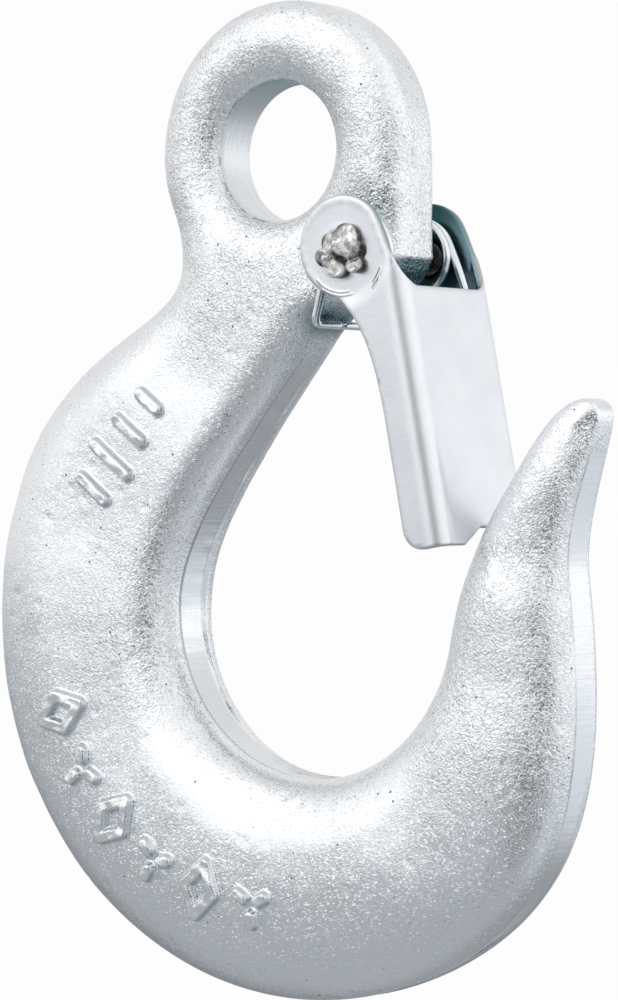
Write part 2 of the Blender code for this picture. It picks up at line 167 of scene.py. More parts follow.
# A ring's points are kept at this share of their inset, or more, from every edge.
RING_SLACK = 0.9
# The fine grid reaches this many soft edges out from a mark's strokes.
FINE_MARGIN = 1.5
# Grid and rings keep this many radii from the middle of the rivet's hole.
HOLE_MARGIN = 1.1
RING_INSETS = (0.00004, 0.00013, 0.00028, 0.0005, 0.0008)
BAND_ROWS = 8
SHEET_STEP = 0.00045
SHEET_INSETS = (0.00002, 0.00007, 0.00014, 0.00024)
SHEET_EDGE_R = 0.00026
SHEET_CUT_WIDTH = 0.00016
SHEET_WAVE = 0.00003
SHEET_WAVE_SIZE = 0.006
TUBE_SIDES = 20

# ---- Surface relief of the forging -----------------------------------------------------
# Each layer of hammer and scale texture: (size of its lumps, depth).
GRAIN_LAYERS = ((0.0110, 0.00014), (0.0036, 0.00005), (0.0016, 0.000016), (0.0009, 0.000008))
BAND_RECESS = 0.00013
BAND_LIP_SHARE = 0.035
SHEAR_PITCH = 0.0011
SHEAR_DEPTH = 0.00007
SHEAR_PATCH_SIZE = 0.006
# Towards the tip the trimmed band is hardly sunk: from this X on, over this run, by this share.
LIP_ENDS = 0.0240
LIP_RUN_OUT = 0.0080
LIP_LOSS = 0.8
# The band shows from this distance from the eye's middle on, over this run.
TRIM_STARTS = 0.0200
TRIM_RUN_IN = 0.0060
# The first stretch of the outline on the throat's side, which is the one over the tip.
TIP_STRETCH = 7
TIP = (0.0380, -0.0285)
TIP_R = 0.0026
# Where the grain is coarse: (x, z, fully coarse within, smooth beyond).
COARSE_SPOTS = (
    (0.000, -0.004, 0.0150, 0.0240),
    (0.033, -0.050, 0.0170, 0.0240),
    (-0.013, -0.050, 0.0070, 0.0150),
)
FACE_SEEDS = (3, 8)
PIT_SPACING = 0.0060
PIT_R = (0.00022, 0.00045)
PIT_DEPTH = 0.00010
MARK_HEIGHT = 0.00082
MARK_SOFT_EDGE = 0.00042
MARK_WAVE_SIZE = 0.0012
MARK_WAVE_SHARE = 0.25
# The grain and the pits fade out this close to an edge.
GRAIN_FADE = 0.0009
# Millimetres, as the materials measure: across a zinc flake, and from one painted pit to the next.
FLAKE_SIZE = 0.10
PIT_CELL = 2.0

# Painted shade, dark teal, where the latch and its spring shelter the forging: (x, z, within, beyond,
# and the height that it stays below).
PAINTED_SHADE_SPOTS = (
    (0.0140, -0.0140, 0.0036, 0.0052, -0.0118),
    (0.0068, -0.0190, 0.0012, 0.0036, -0.0100),
)
PAINTED_SHADE_EDGE = 0.0005

# Raised marks on the front face: strokes on the plan, worked out from these.
ROW_RADIUS = 0.0303
ROW_ANGLES = (200, 213, 226, 239, 252, 265)
LOZENGE_HALF_LENGTH = 0.0029
LOZENGE_HALF_WIDTH = 0.0019
STUD_SPREAD = 0.0016
STUD_HALF_LENGTH = 0.0004
STROKE_HALF_WIDTH = 0.00046
GAUGE_START = (-0.0146, -0.0268)
GAUGE_DIRECTION = 232
GAUGE_PITCH = 0.0040
GAUGE_HALF_LENGTHS = (0.0014, 0.0020, 0.0027, 0.0020)

# Lobes of the crushed rivet head: (x, z, radius, height, slope along x, slope along z), from
# the rivet's centre.
HEAD_LOBES = (
    (0.00070, 0.00115, 0.00175, 0.00112, 0.16, -0.30),
    (-0.00120, 0.00080, 0.00115, 0.00092, 0.38, -0.10),
    (-0.00205, -0.00065, 0.00095, 0.00080, 0.10, 0.42),
    (-0.00110, -0.00095, 0.00090, 0.00074, -0.42, 0.10),
    (-0.00015, -0.00175, 0.00110, 0.00092, -0.30, -0.48),
    (0.00200, -0.00140, 0.00095, 0.00098, -0.05, -0.55),
    (0.00200, 0.00005, 0.00105, 0.00086, -0.60, 0.10),
    (0.00055, -0.00040, 0.00085, 0.00068, 0.30, 0.45),
)
LOBE_OVERLAP = 1.18
LOBE_FLATNESS = 6.0
LOBE_SHOULDER = 0.6
LOBE_RIPPLE = 0.25
LOBE_RIPPLE_SIZE = 0.0011
# Layers of finer crushing: (size of its lumps, depth).
HEAD_CRUSH = ((0.0007, 0.00006), (0.00028, 0.00003))
HEAD_BASE = 0.0002
HEAD_LEAST = 0.00015
HEAD_RIM_SHARE = 0.45
DOME_WIDTH_POWER = 0.8
DOME_HEIGHT_POWER = 1.2
HEAD_SIDES = 144
HEAD_RINGS = 38
HEAD_SEAT_GAP = 0.00004
# Grime and painted shade fill the folds of the head below this height over the ear, and deepen over this
# run.
HEAD_GAP_BELOW = 0.00078
HEAD_GAP_SOFT = 0.00036

# ---- Light and camera ------------------------------------------------------------------
CAMERA_AZIMUTH = 35
CAMERA_DISTANCE = 0.450
CAMERA_AIM = (0.002472, -0.000370, -0.0375)
SENSOR_WIDTH = 36.0
LENS = 150.66
FLOOR_DROP = 0.035
FLOOR_R = 3.0
FLOOR_SIDES = 64
FLOOR_GLOW = 0.935
SKY_TOP = 0.90
SKY_BOTTOM = 0.43
# Elevations, in degrees, between which the room changes from its bottom to its top.
SKY_FADE = (-6.0, 5.0)
# Pools of light and shade round the object: (azimuth, elevation, inner edge, outer edge,
# strength), in degrees. Azimuth 0 is on the -Y side and 90 on the +X side.
SKY_POOLS = (
    (-22, 30, 8, 46, 0.26),
    (28, 0, 3, 28, -0.54),
    (-5, -8, 3, 20, 0.16),
    (92, -8, 12, 58, 0.24),
    (150, -6, 8, 30, 0.40),
    (155, 30, 8, 34, -0.14),
    (105, 50, 10, 50, 0.12),
    (-115, 45, 10, 60, -0.09),
    (-20, 82, 6, 40, -0.07),
    (-120, -34, 6, 34, -0.16),
    (150, -55, 10, 50, -0.10),
)
SKY_TINT_LOW = (0.93, 0.985, 1.04)
SKY_TINT_HIGH = (0.985, 0.992, 1.0)
# Brightness of the backdrop as the camera sees it.
BACKDROP = 0.982


# ---- Outline of the forging ------------------------------------------------------------
def polar(centre, radius, degrees):
    angle = math.radians(degrees)
    return (centre[0] + radius * math.cos(angle), centre[1] + radius * math.sin(angle))


def arc(centre, radius, start, end, step):
    """Points along an arc from start to end, in degrees, anticlockwise if end is larger."""
    count = max(2, round(abs(math.radians(end - start)) * radius / step))
    return [polar(centre, radius, start + (end - start) * i / count) for i in range(count + 1)]


def along(point, degrees, distance):
    """The point a distance away, in a direction."""
    return polar(point, distance, degrees)


def bezier(start, start_handle, end_handle, end, step):
    """Points along a cubic curve, spaced about a step apart."""
    corners = [Vector((x, z)) for x, z in (start, start_handle, end_handle, end)]
    length = sum((b - a).length for a, b in zip(corners, corners[1:]))
    return [tuple(point) for point in interpolate_bezier(*corners, max(2, round(length / step)) + 1)]


def forging_outline(step):
    """The stretches of the outer contour, anticlockwise, each (points, band, rounding).

    band is half the height of the flat strip that trimming the flash leaves, and rounding is
    how far in from the contour the surface takes to reach full thickness. Both are given at
    the stretch's end, and run there evenly from what the stretch before it gives.
    """
    eye_right = polar(EYE_OUTER_CENTRE, EYE_OUTER_R, 0)
    eye_left = polar(EYE_OUTER_CENTRE, EYE_OUTER_R, 194)
    neck_left = (-0.0130, -0.0120)
    shoulder = polar(BOWL_OUTER_CENTRE, BOWL_OUTER_R, 155)
    heel = polar(BOWL_OUTER_CENTRE, BOWL_OUTER_R, 300)
    tip_waist = (0.0360, -0.0450)
    tip_back = (0.0394, -0.0294)
    tip_top = (0.0370, -0.0271)
    tip_front = (0.0285, -0.0365)
    bowl_right = polar(BOWL_INNER_CENTRE, BOWL_INNER_R, -10)
    bowl_left = polar(BOWL_INNER_CENTRE, BOWL_INNER_R, 174)
    neck = (0.0044, -0.0200)
    boss_left = polar(RIVET_CENTRE, LUG_BOSS_R, 262)
    boss_right = polar(RIVET_CENTRE, LUG_BOSS_R, 345)
    lug_corner = (eye_right[0], LUG_BOTTOM_Z)

    def swing(start, start_angle, start_reach, end_angle, end_reach, end):
        return bezier(
            start, along(start, start_angle, start_reach), along(end, end_angle, end_reach), end, step
        )

    return (
        (arc(EYE_OUTER_CENTRE, EYE_OUTER_R, 0, 194, step), 0.0015, 0.0050),
        (swing(eye_left, 284, 0.003, 88, 0.004, neck_left), 0.0015, 0.0060),
        (swing(neck_left, 268, 0.0065, 65, 0.0155, shoulder), 0.0015, 0.0080),
        (arc(BOWL_OUTER_CENTRE, BOWL_OUTER_R, 155, 215, step), 0.0014, 0.0130),
        (arc(BOWL_OUTER_CENTRE, BOWL_OUTER_R, 215, 300, step), 0.0013, 0.0150),
        (swing(heel, 30, 0.018, 276, 0.017, tip_waist), 0.0018, 0.0060),
        (swing(tip_waist, 92, 0.006, 256, 0.006, tip_back), 0.0015, 0.0052),
        (swing(tip_back, 82, 0.0017, 10, 0.0016, tip_top), 0.0010, 0.0060),
        (swing(tip_top, 195, 0.0040, 55, 0.0050, tip_front), 0.0014, 0.0045),
        (swing(tip_front, 235, 0.0060, 80, 0.005, bowl_right), 0.0020, 0.0060),
        (arc(BOWL_INNER_CENTRE, BOWL_INNER_R, -10, -110, step), 0.0021, 0.0085),
        (arc(BOWL_INNER_CENTRE, BOWL_INNER_R, -110, -186, step), 0.0022, 0.0048),
        (swing(bowl_left, 84, 0.008, 232, 0.012, neck), 0.0015, 0.0040),
        (swing(neck, 52, 0.003, 180, 0.002, boss_left), 0.0018, 0.0015),
        (arc(RIVET_CENTRE, LUG_BOSS_R, 262, 345, step), 0.0018, 0.0015),
        (swing(boss_right, 0, 0, 0, 0, lug_corner), 0.0018, 0.0020),
        (swing(lug_corner, 0, 0, 0, 0, eye_right), 0.0017, 0.0048),
    )


class Contour:
    """One chain of points on a plan, with the band and rounding along it."""

    def __init__(self, points, values):
        self.points = np.array(points)
        self.values = values

    def measure(self, places):
        """Distance to the chain from each place, and the band and rounding at its nearest point."""
        tree = KDTree(len(self.points))
        for i, (x, z) in enumerate(self.points):
            tree.insert((x, z, 0.0), i)
        tree.balance()
        nearest = np.array([tree.find((x, z, 0.0))[1] for x, z in places])
        best = np.full((3, len(places)), np.inf)
        for first in (np.maximum(nearest - 1, 0), np.minimum(nearest, len(self.points) - 2)):
            starts = self.points[first]
            runs = self.points[first + 1] - starts
            shares = np.clip(((places - starts) * runs).sum(1) / (runs * runs).sum(1), 0.0, 1.0)
            gaps = np.linalg.norm(places - starts - shares[:, None] * runs, axis=1)
            values = self.values[first] * (1 - shares[:, None]) + self.values[first + 1] * shares[:, None]
            best = np.where(gaps < best[0], np.vstack([gaps, values.T]), best)
        return best


def chain(stretches, start):
    """Join stretches of outline end to end. start is the band and rounding that they start from."""
    points, values = [], []
    first = np.array(start)
    for stretch, *ends in stretches:
        last = np.array(ends)
        shares = np.linspace(0.0, 1.0, len(stretch))[:, None]
        skipped = 1 if points else 0
        points += stretch[skipped:]
        values.append((first + (last - first) * shares)[skipped:])
        first = last
    return Contour(points, np.concatenate(values))


def edge_gap(places, contours):
    """Distance from each place to the nearest contour."""
    return np.min([contour.measure(places)[0] for contour in contours], axis=0)


def distance(places, centre):
    """Distance from each place to one point."""
    return np.linalg.norm(places - np.array(centre), axis=1)


def smooth_step(value):
    value = np.clip(value, 0.0, 1.0)
    return value * value * (3 - 2 * value)


def full_half_thickness(places):
    """Half thickness far from any edge: the stations blended, and flat faces on the lug."""
    weight_sum = np.zeros(len(places))
    thickness = np.zeros(len(places))
    for x, z, half in THICKNESS_STATIONS:
        weight = (distance(places, (x, z)) + 1e-6) ** -3.0
        weight_sum += weight
        thickness += weight * half
    thickness /= weight_sum
    away = smooth_step((distance(places, RIVET_CENTRE) - LUG_FACE_R) / LUG_FACE_RUN_OUT)
    return LUG_HALF_THICKNESS + (thickness - LUG_HALF_THICKNESS) * away


def half_thickness(places, contours):
    """Half thickness of the forging, and the distance to its nearest edge."""
    rises = []
    band_sum = np.zeros(len(places))
    weight_sum = np.zeros(len(places))
    nearest = np.full(len(places), np.inf)
    for contour in contours:
        gap, band, rounding = contour.measure(places)
        share = np.clip(gap / rounding, 0.0, 1.0)
        rises.append(np.sqrt(1 - (1 - share) ** 2))
        weight = 1 / (gap + 1e-6) ** 2
        band_sum += weight * band
        weight_sum += weight
        nearest = np.minimum(nearest, gap)
    band = band_sum / weight_sum
    from_seam = distance(places, polar(EYE_OUTER_CENTRE, EYE_OUTER_R, 0))
    one_edge = 1 - smooth_step((from_seam - SEAM_REACH) / SEAM_REACH)
    rise = np.prod(rises, axis=0) / np.maximum(rises[0], rises[1]).clip(1e-3) ** one_edge
    return band + (full_half_thickness(places) - band) * rise, nearest


def inside(places, loop):
    """Which places lie inside a closed loop of points."""
    crossings = np.zeros(len(places), dtype=int)
    for (x0, z0), (x1, z1) in zip(loop, np.roll(loop, -1, axis=0)):
        if z0 != z1:
            spans = np.flatnonzero((z0 > places[:, 1]) != (z1 > places[:, 1]))
            crossing_x = x0 + (places[spans, 1] - z0) * (x1 - x0) / (z1 - z0)
            crossings[spans[places[spans, 0] < crossing_x]] += 1
    return crossings % 2 == 1


def between(places, loops):
    """Which places lie inside the first loop and outside the others."""
    kept = inside(places, loops[0])
    for loop in loops[1:]:
        kept &= ~inside(places, loop)
    return kept


def polygon_area(loop):
    """Area of a closed loop, which is negative if it runs clockwise."""
    after = np.roll(loop, -1, axis=0)
    return (loop[:, 0] * after[:, 1] - after[:, 0] * loop[:, 1]).sum() / 2


def inset_ring(loop, distance):
    """Points a distance to the left of a closed loop, which is inside an anticlockwise one."""
    forward = np.roll(loop, -1, axis=0) - np.roll(loop, 1, axis=0)
    forward /= np.linalg.norm(forward, axis=1)[:, None]
    return loop + distance * np.stack([-forward[:, 1], forward[:, 0]], axis=1)


def grid_places(low, high, step):
    """A grid of triangles' corners that fills a rectangle."""
    rows = np.arange(low[1], high[1], step * math.sqrt(3) / 2)
    columns = np.arange(low[0], high[0], step)
    shifts = step / 2 * (np.arange(len(rows)) % 2)
    xs = columns[None, :] + shifts[:, None]
    return np.stack([xs.ravel(), np.repeat(rows, len(columns))], axis=1)


def fill(groups, contours, loops):
    """Places between the loops from groups, each (places, least distance to the contours)."""
    kept = []
    for places, least in groups:
        kept.append(places[between(places, loops) & (edge_gap(places, contours) >= least)])
    return np.concatenate(kept)


def triangulate(loops, extra):
    """Triangles that fill the first loop outside the others, through the extra places too.

    Returns the places, the triangles, and the edges of the loops.
    """
    edges = []
    first = 0
    for loop in loops:
        edges += [(first + i, first + (i + 1) % len(loop)) for i in range(len(loop))]
        first += len(loop)
    points = np.concatenate([*loops, extra])
    corners, _, triangles, _, _, _ = delaunay_2d_cdt([Vector(p) for p in points], edges, [], 0, 1e-9)
    corners = np.array([tuple(corner) for corner in corners])
    triangles = np.array([tuple(triangle) for triangle in triangles])
    return corners, triangles[between(corners[triangles].mean(1), loops)], edges


# ---- Building meshes -------------------------------------------------------------------
def make_piece(name, corners, faces, material, attributes=None):
    """A smooth-shaded mesh object with its faces pointing out."""
    mesh = bpy.data.meshes.new(name)
    mesh.from_pydata(np.asarray(corners).tolist(), [], [tuple(int(i) for i in face) for face in faces])
    shape = bmesh.new()
    shape.from_mesh(mesh)
    bmesh.ops.recalc_face_normals(shape, faces=shape.faces)
    shape.to_mesh(mesh)
    shape.free()
    mesh.shade_smooth()
    for label, values in (attributes or {}).items():
        mesh.attributes.new(label, "FLOAT", "POINT").data.foreach_set("value", values.astype(np.float32))
    mesh.materials.append(material)
    piece = bpy.data.objects.new(name, mesh)
    bpy.context.scene.collection.objects.link(piece)
    return piece


def corner_normals(corners, triangles):
    """Unit normals at the corners of a mesh of triangles."""
    a, b, c = (corners[triangles[:, i]] for i in range(3))
    face_normals = np.cross(b - a, c - a)
    normals = np.zeros_like(corners)
    for i in range(3):
        np.add.at(normals, triangles[:, i], face_normals)
    return normals / (np.linalg.norm(normals, axis=1)[:, None] + 1e-15)


def lumps(places, size, shift):
    """Soft noise of about -1 to 1 with lumps of one size. Each shift gives another pattern."""
    offset = Vector((shift, -shift, shift / 2))
    return np.array([noise.noise(Vector(place) / size + offset) for place in places])


def ring_faces(rings, sides):
    """Faces between neighbouring rings of corners, each ring of as many sides."""
    faces = []
    for ring in range(rings - 1):
        for i in range(sides):
            a, b = ring * sides + i, ring * sides + (i + 1) % sides
            faces.append((a, b, b + sides, a + sides))
    return faces


def tube(path, radius, sides):
    """Corners and faces of a round wire with flat ends along a path."""
    directions = [(b - a).normalized() for a, b in zip(path, path[1:])]
    directions = [directions[0]] + directions
    side = directions[0].orthogonal().normalized()
    corners = []
    for place, direction, ahead in zip(path, directions, directions[1:] + directions[-1:]):
        tangent = (direction + ahead).normalized()
        side = (side - tangent * side.dot(tangent)).normalized()
        across = tangent.cross(side)
        for i in range(sides):
            angle = 2 * math.pi * i / sides
            corners.append(place + radius * (math.cos(angle) * side + math.sin(angle) * across))
    caps = [tuple(range(sides)), tuple(range(len(corners) - sides, len(corners)))]
    return corners, ring_faces(len(path), sides) + caps


# ---- Forging ---------------------------------------------------------------------------
def lozenge_strokes(centre, degrees):
    """The four sides of a lozenge that stands along a direction."""
    reaches = (LOZENGE_HALF_LENGTH, LOZENGE_HALF_WIDTH) * 2
    ends = [along(centre, degrees + 90 * i, reach) for i, reach in enumerate(reaches)]
    return list(zip(ends, ends[1:] + ends[:1]))


def bar_stroke(centre, degrees, half_length):
    return (along(centre, degrees, half_length), along(centre, degrees + 180, half_length))


def mark_strokes():
    """Strokes of the raised marks: a row of lozenges and studs round the bowl, and a gauge of bars."""
    strokes = []
    for i, degrees in enumerate(ROW_ANGLES):
        centre = polar(BOWL_OUTER_CENTRE, ROW_RADIUS, degrees)
        if i % 2 == 0:
            strokes += lozenge_strokes(centre, degrees)
        else:
            for turn in (0, 120, 240):
                stud = along(centre, degrees + turn, STUD_SPREAD)
                strokes.append(bar_stroke(stud, degrees + turn, STUD_HALF_LENGTH))
    for i, half_length in enumerate(GAUGE_HALF_LENGTHS):
        centre = along(GAUGE_START, GAUGE_DIRECTION, i * GAUGE_PITCH)
        strokes.append(bar_stroke(centre, GAUGE_DIRECTION + 90, half_length))
    return strokes


def stroke_gap(places, strokes):
    """Distance from each place to the nearest stroke's middle line."""
    nearest = np.full(len(places), np.inf)
    for start, end in strokes:
        run = np.array(end) - np.array(start)
        offset = places - np.array(start)
        share = np.clip(offset @ run / (run @ run), 0.0, 1.0)
        nearest = np.minimum(nearest, np.linalg.norm(offset - share[:, None] * run, axis=1))
    return nearest


def forging_plan(strokes):
    """The forging's plan as places and triangles, its rim edges, and its contours."""
    stretches = forging_outline(OUTLINE_STEP)
    outer_side = chain(stretches[:TIP_STRETCH], stretches[-1][1:])
    throat_side = chain(stretches[TIP_STRETCH:], stretches[TIP_STRETCH - 1][1:])
    hole = chain([(arc((0.0, 0.0), EYE_HOLE_R, 360, 0, OUTLINE_STEP), *EYE_HOLE_EDGE)], EYE_HOLE_EDGE)
    contours = (outer_side, throat_side, hole)
    outer_loop = np.concatenate([outer_side.points[:-1], throat_side.points[:-1]])
    eye_loop = hole.points[:-1]
    rivet_loop = np.array(arc(RIVET_CENTRE, RIVET_HOLE_R, 360, 0, OUTLINE_STEP)[:-1])
    loops = (outer_loop, eye_loop, rivet_loop)
    groups = [(inset_ring(loop, inset), inset * RING_SLACK) for loop in loops[:2] for inset in RING_INSETS]
    coarse = grid_places(outer_loop.min(0), outer_loop.max(0), GRID_STEP)
    reach = STROKE_HALF_WIDTH + MARK_SOFT_EDGE * FINE_MARGIN
    groups.append((coarse[stroke_gap(coarse, strokes) > reach], RING_INSETS[-1] + GRID_STEP * 0.5))
    fine = grid_places(outer_loop.min(0), (0.004, 0.0), MARK_STEP)
    groups.append((fine[stroke_gap(fine, strokes) <= reach], RING_INSETS[-1]))
    extra = fill(groups, contours, loops[:2])
    extra = extra[distance(extra, RIVET_CENTRE) > RIVET_HOLE_R * HOLE_MARGIN]
    return (*triangulate(loops, extra), contours)


def pit_lift(places, seed):
    """Small dents scattered over a face."""
    random = np.random.default_rng(seed)
    low, high = places.min(0), places.max(0)
    lift = np.zeros(len(places))
    for _ in range(int((high - low).prod() / PIT_SPACING**2)):
        centre = low + (high - low) * random.random(2)
        radius = random.uniform(*PIT_R)
        lift -= PIT_DEPTH * np.exp(-((distance(places, centre) / radius) ** 2))
    return lift


def trim_share(places):
    """How clearly the trimmed band shows: not round the eye, nor on the very tip."""
    off_eye = smooth_step((distance(places, (0, 0)) - TRIM_STARTS) / TRIM_RUN_IN)
    return off_eye * smooth_step((distance(places, TIP) - TIP_R) / TIP_R)


def soft_spot(corners, x, z, core, reach):
    """1 within core of a place on the plan, and 0 beyond reach of it."""
    return smooth_step((reach - distance(corners[:, ::2], (x, z))) / (reach - core))


def build_hook_body(material):
    """The forging: two grainy faces over its outline, joined by the trimmed band."""
    strokes = mark_strokes()
    places, triangles, rim, contours = forging_plan(strokes)
    heights, gaps = half_thickness(places, contours)
    count = len(places)
    front = np.stack([places[:, 0], -heights, places[:, 1]], axis=1)
    rear = front * (1, -1, 1)
    corners = [front, rear]
    faces = [triangles, triangles[:, ::-1] + count]

    rim_count = len(rim)
    rows = [np.arange(rim_count)]
    shares = (1 - np.cos(np.pi * np.arange(1, BAND_ROWS) / BAND_ROWS)) / 2
    first = 2 * count
    for share in shares:
        row = front[:rim_count] * (1, 1 - 2 * share, 1)
        corners.append(row)
        rows.append(first + np.arange(rim_count))
        first += rim_count
    rows.append(count + np.arange(rim_count))
    starts, ends = np.array(rim).T
    for upper, lower in zip(rows, rows[1:]):
        faces.append(np.stack([upper[ends], upper[starts], lower[starts]], axis=1))
        faces.append(np.stack([upper[ends], lower[starts], lower[ends]], axis=1))
    corners = np.concatenate(corners)
    faces = np.concatenate(faces)

    normals = corner_normals(corners, faces)
    lift = np.zeros(len(corners))
    fade = smooth_step(gaps / GRAIN_FADE)
    for start, seed in zip((0, count), FACE_SEEDS):
        face = corners[start : start + count]
        grain = sum(depth * lumps(face, size, seed + 5 * k) for k, (size, depth) in enumerate(GRAIN_LAYERS))
        lift[start : start + count] = (grain + pit_lift(places, seed)) * fade
    mark = smooth_step(1 - (stroke_gap(places, strokes) - STROKE_HALF_WIDTH) / MARK_SOFT_EDGE)
    lift[:count] += MARK_HEIGHT * mark * (1 + MARK_WAVE_SHARE * lumps(front, MARK_WAVE_SIZE, 1))

    band = corners[2 * count :]
    depth = np.repeat(smooth_step(np.minimum(shares, 1 - shares) / BAND_LIP_SHARE), rim_count)
    trimmed = trim_share(band[:, ::2])
    outer_side = smooth_step((band[:, 0] - LIP_ENDS) / LIP_RUN_OUT)
    depth *= trimmed * (1 - LIP_LOSS * outer_side)
    streak = lumps(band * (1, 0.15, 1), SHEAR_PITCH, 2)
    patch = smooth_step(0.5 + 2 * lumps(band, SHEAR_PATCH_SIZE, 4))
    lift[2 * count :] = -depth * (BAND_RECESS + SHEAR_DEPTH * patch * (1 + streak))
    corners = np.clip(corners + normals * lift[:, None], *cad_box)

    on_band = np.zeros(len(corners))
    on_band[2 * count :] = trimmed
    on_band[:rim_count] = trim_share(places[:rim_count])
    on_band[count : count + rim_count] = on_band[:rim_count]
    on_band[distance(corners[:, ::2], (0, 0)) < EYE_HOLE_R + RING_INSETS[1]] = 1.0
    on_mark = np.zeros(len(corners))
    on_mark[:count] = mark
    coarse = np.max([soft_spot(corners, *spot) for spot in COARSE_SPOTS], axis=0)
    # Painted shade: a dark teal colour where the latch and the spring overhang the forging.
    painted_shade = np.zeros(len(corners))
    for *spot, top in PAINTED_SHADE_SPOTS:
        below = smooth_step((top - corners[:, 2]) / PAINTED_SHADE_EDGE)
        painted_shade = np.maximum(painted_shade, soft_spot(corners, *spot) * below)
    attributes = {"band": on_band, "mark": on_mark, "coarse": coarse, "painted_shade": painted_shade}
    return make_piece("hook_forging", corners, faces, material, attributes)


# ---- Latch -----------------------------------------------------------------------------
# Middle of the sheet in the latch's own axes, and run, which is measured along the sheet from
# the middle of the web, round the bend and down the flange.
WEB_MIDDLE = LATCH_WEB_OFFSET - SHEET_THICKNESS / 2
FLANGE_MIDDLE = LATCH_HALF_WIDTH - SHEET_THICKNESS / 2
BEND_MIDDLE_R = LATCH_BEND_R - SHEET_THICKNESS / 2
WEB_FLAT_RUN = FLANGE_MIDDLE - BEND_MIDDLE_R
FLANGE_START_RUN = WEB_FLAT_RUN + math.pi / 2 * BEND_MIDDLE_R
RIVET_RUN = FLANGE_START_RUN + WEB_MIDDLE - BEND_MIDDLE_R


def straight(start, end, step):
    """Points along a straight line, without its end."""
    count = max(1, round(math.dist(start, end) / step))
    shares = [i / count for i in range(count)]
    return [(start[0] + (end[0] - start[0]) * s, start[1] + (end[1] - start[1]) * s) for s in shares]


def latch_half_pattern(step):
    """Half of the flat pattern's edge, from the web's top middle to its bottom middle.

    Places are (run, height), and are drawn first as (distance from the rivet, height).
    """
    ear = (0.0, LATCH_EAR_RISE)
    ear_low = polar(ear, LATCH_EAR_R, 240)
    edge_top = (LATCH_FLANGE_EDGE, -LATCH_EDGE_STARTS)
    corner = (LATCH_FLANGE_EDGE + LATCH_CORNER_R, -LATCH_LENGTH + LATCH_CORNER_R)
    ear_shoulder = polar(ear, LATCH_EAR_R, LATCH_SHOULDER_ANGLE)
    web_top = (LATCH_EAR_R + LATCH_SHOULDER_WIDTH, -LATCH_WEB_TOP)
    notch_top = LATCH_NOTCH_HALF_WIDTH - LATCH_NOTCH_SLOPE
    rise = along(ear_shoulder, LATCH_SHOULDER_ANGLE - 90, LATCH_TOP_FILLET)
    half = straight((RIVET_RUN, -LATCH_WEB_TOP), web_top, step)
    half += bezier(web_top, along(web_top, 180, LATCH_SHOULDER_WIDTH), rise, ear_shoulder, step)[:-1]
    half += arc(ear, LATCH_EAR_R, LATCH_SHOULDER_ANGLE, 240, step)
    half += bezier(ear_low, along(ear_low, 330, 0.004), along(edge_top, 90, 0.008), edge_top, step)[1:-1]
    half += straight(edge_top, (corner[0] - LATCH_CORNER_R, corner[1]), step)
    half += arc(corner, LATCH_CORNER_R, 180, 270, step)[:-1]
    notch_foot = (RIVET_RUN - LATCH_NOTCH_HALF_WIDTH, -LATCH_LENGTH)
    notch_shoulder = (RIVET_RUN - notch_top, -LATCH_LENGTH + LATCH_NOTCH_DEPTH)
    half += straight((corner[0], -LATCH_LENGTH), notch_foot, step)
    half += straight(notch_foot, notch_shoulder, step)
    half += straight(notch_shoulder, (RIVET_RUN, notch_shoulder[1]), step)
    half.append((RIVET_RUN, notch_shoulder[1]))
    return [(RIVET_RUN - distance, height) for distance, height in half]


def bend_sheet(places):
    """Where places on the flat pattern lie, in the latch's own axes, once it is bent."""
    side = np.abs(places[:, 0])
    turn = np.clip((side - WEB_FLAT_RUN) / BEND_MIDDLE_R, 0.0, math.pi / 2)
    x = WEB_MIDDLE - BEND_MIDDLE_R * (1 - np.cos(turn)) - np.maximum(side - FLANGE_START_RUN, 0.0)
    y = np.minimum(side, WEB_FLAT_RUN) + BEND_MIDDLE_R * np.sin(turn)
    from_rivet = RIVET_RUN - side
    from_ear = np.hypot(from_rivet, places[:, 1] - LATCH_EAR_RISE)
    pressed = 1 - smooth_step((from_ear - LATCH_EAR_R) / LATCH_EAR_STEP)
    x = x + pressed * (from_rivet - x)
    y = y + pressed * (FLANGE_MIDDLE - LATCH_EAR_INSET - y)
    return np.stack([x, np.where(places[:, 0] < 0, -y, y), places[:, 1]], axis=1)


def sheet_normals(places):
    """Unit normals of the bent sheet, on its outer side."""
    small = 0.00002
    along_run = bend_sheet(places + (small, 0)) - bend_sheet(places - (small, 0))
    along_height = bend_sheet(places + (0, small)) - bend_sheet(places - (0, small))
    normals = np.cross(along_run, along_height)
    return normals / np.linalg.norm(normals, axis=1)[:, None]


def latch_to_world(places):
    """From the latch's own axes (X out of its web, Z up its length) to the hook's."""
    lean_cos, lean_sin = math.cos(LATCH_LEAN), math.sin(LATCH_LEAN)
    x, y, z = places.T
    return np.stack(
        [RIVET_CENTRE[0] + x * lean_cos - z * lean_sin, y, RIVET_CENTRE[1] + x * lean_sin + z * lean_cos],
        axis=1,
    )


